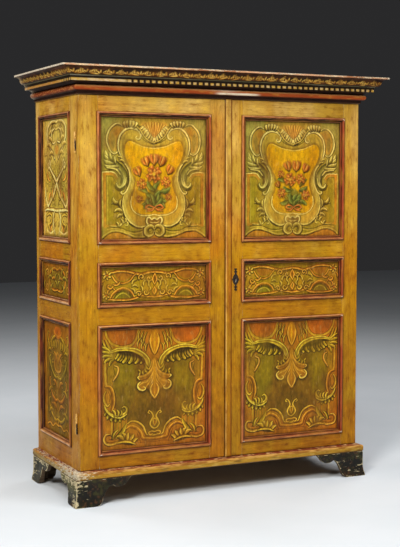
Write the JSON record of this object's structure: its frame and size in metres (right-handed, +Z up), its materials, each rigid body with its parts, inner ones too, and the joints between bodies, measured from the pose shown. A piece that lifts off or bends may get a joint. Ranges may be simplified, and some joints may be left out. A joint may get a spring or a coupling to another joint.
{
  "type": "two-door armoire",
  "caption": "Painted frame-and-panel cupboard with swinging doors, moulded cornice, bracket feet, shelves inside, a box lock and slide bolts.",
  "frame": {"origin": "middle of the bounding box, at floor level", "axes": "+Z up, the doors face -Y, +X to the right of someone facing the doors"},
  "size_m": [1.836, 0.768, 2.156],
  "materials": {
    "ochre_paint": "aged ochre distemper with worn edges, satin varnish",
    "moulding_paint": "terracotta paint worn to pale gesso on the crests",
    "painted_panel": "hand-painted scrollwork on green and ochre grounds, crazed varnish",
    "cornice_paint": "banded paint, worn at the edges",
    "base_paint": "ochre and red paint, chipped to gesso",
    "foot_paint": "near-black green paint, flaking to gesso and wood",
    "bare_wood": "old unpainted softwood",
    "wrought_iron": "dark forged iron"
  },
  "bodies": {
    "case": {"top_board": "bare_wood", "bottom_board": "bare_wood", "back_boards": "bare_wood", "lower_shelf": "bare_wood", "middle_shelf": "bare_wood", "upper_shelf": "bare_wood", "shelf_cleats": "bare_wood", "left_side_front_stile": "ochre_paint", "left_side_rear_stile": "ochre_paint", "left_side_rails": "ochre_paint", "left_side_lower_panel": "painted_panel", "left_side_middle_panel": "painted_panel", "left_side_upper_panel": "painted_panel", "left_side_panel_mouldings": "moulding_paint", "right_side_front_stile": "ochre_paint", "right_side_rear_stile": "ochre_paint", "right_side_rails": "ochre_paint", "right_side_lower_panel": "painted_panel", "right_side_middle_panel": "painted_panel", "right_side_upper_panel": "painted_panel", "right_side_panel_mouldings": "moulding_paint", "cornice_front": "cornice_paint", "cornice_left": "cornice_paint", "cornice_right": "cornice_paint", "base_moulding_front": "base_paint", "base_moulding_left": "base_paint", "base_moulding_right": "base_paint", "foot_front_left": "foot_paint", "foot_front_right": "foot_paint", "foot_rear_left": "foot_paint", "foot_rear_right": "foot_paint", "hinge_case_leaves": "wrought_iron", "hinge_pins": "wrought_iron"},
    "left_door": {"left_door_hinge_stile": "ochre_paint", "left_door_meeting_stile": "ochre_paint", "left_door_rails": "ochre_paint", "left_door_lower_panel": "painted_panel", "left_door_middle_panel": "painted_panel", "left_door_upper_panel": "painted_panel", "left_door_panel_mouldings": "moulding_paint", "left_door_hinge_leaves": "wrought_iron", "lock_keep": "wrought_iron", "slide_bolt_guides": "wrought_iron"},
    "right_door": {"right_door_meeting_stile": "ochre_paint", "right_door_hinge_stile": "ochre_paint", "right_door_rails": "ochre_paint", "right_door_lower_panel": "painted_panel", "right_door_middle_panel": "painted_panel", "right_door_upper_panel": "painted_panel", "right_door_panel_mouldings": "moulding_paint", "astragal": "ochre_paint", "right_door_hinge_leaves": "wrought_iron", "escutcheon": "wrought_iron", "lock_case": "wrought_iron"},
    "locking_bolt": {"lock_bolt": "wrought_iron"},
    "upper_bolt": {"upper_slide_bolt": "wrought_iron"},
    "lower_bolt": {"lower_slide_bolt": "wrought_iron"}
  },
  "joints": [
    {"name": "left_door_hinge", "type": "hinge", "parent": "case", "child": "left_door", "pos_m": [-0.806, -0.23375, 1.097], "axis": [0, 0, -1], "range_deg": [0, 180]},
    {"name": "right_door_hinge", "type": "hinge", "parent": "case", "child": "right_door", "pos_m": [0.806, -0.23375, 1.097], "axis": [0, 0, 1], "range_deg": [0, 180]},
    {"name": "lock_bolt_slide", "type": "slide", "parent": "right_door", "child": "locking_bolt", "axis": [-1, 0, 0], "range_m": [0, 0.014]},
    {"name": "upper_bolt_slide", "type": "slide", "parent": "left_door", "child": "upper_bolt", "axis": [0, 0, 1], "range_m": [0, 0.015]},
    {"name": "lower_bolt_slide", "type": "slide", "parent": "left_door", "child": "lower_bolt", "axis": [0, 0, -1], "range_m": [0, 0.015]}
  ]
}
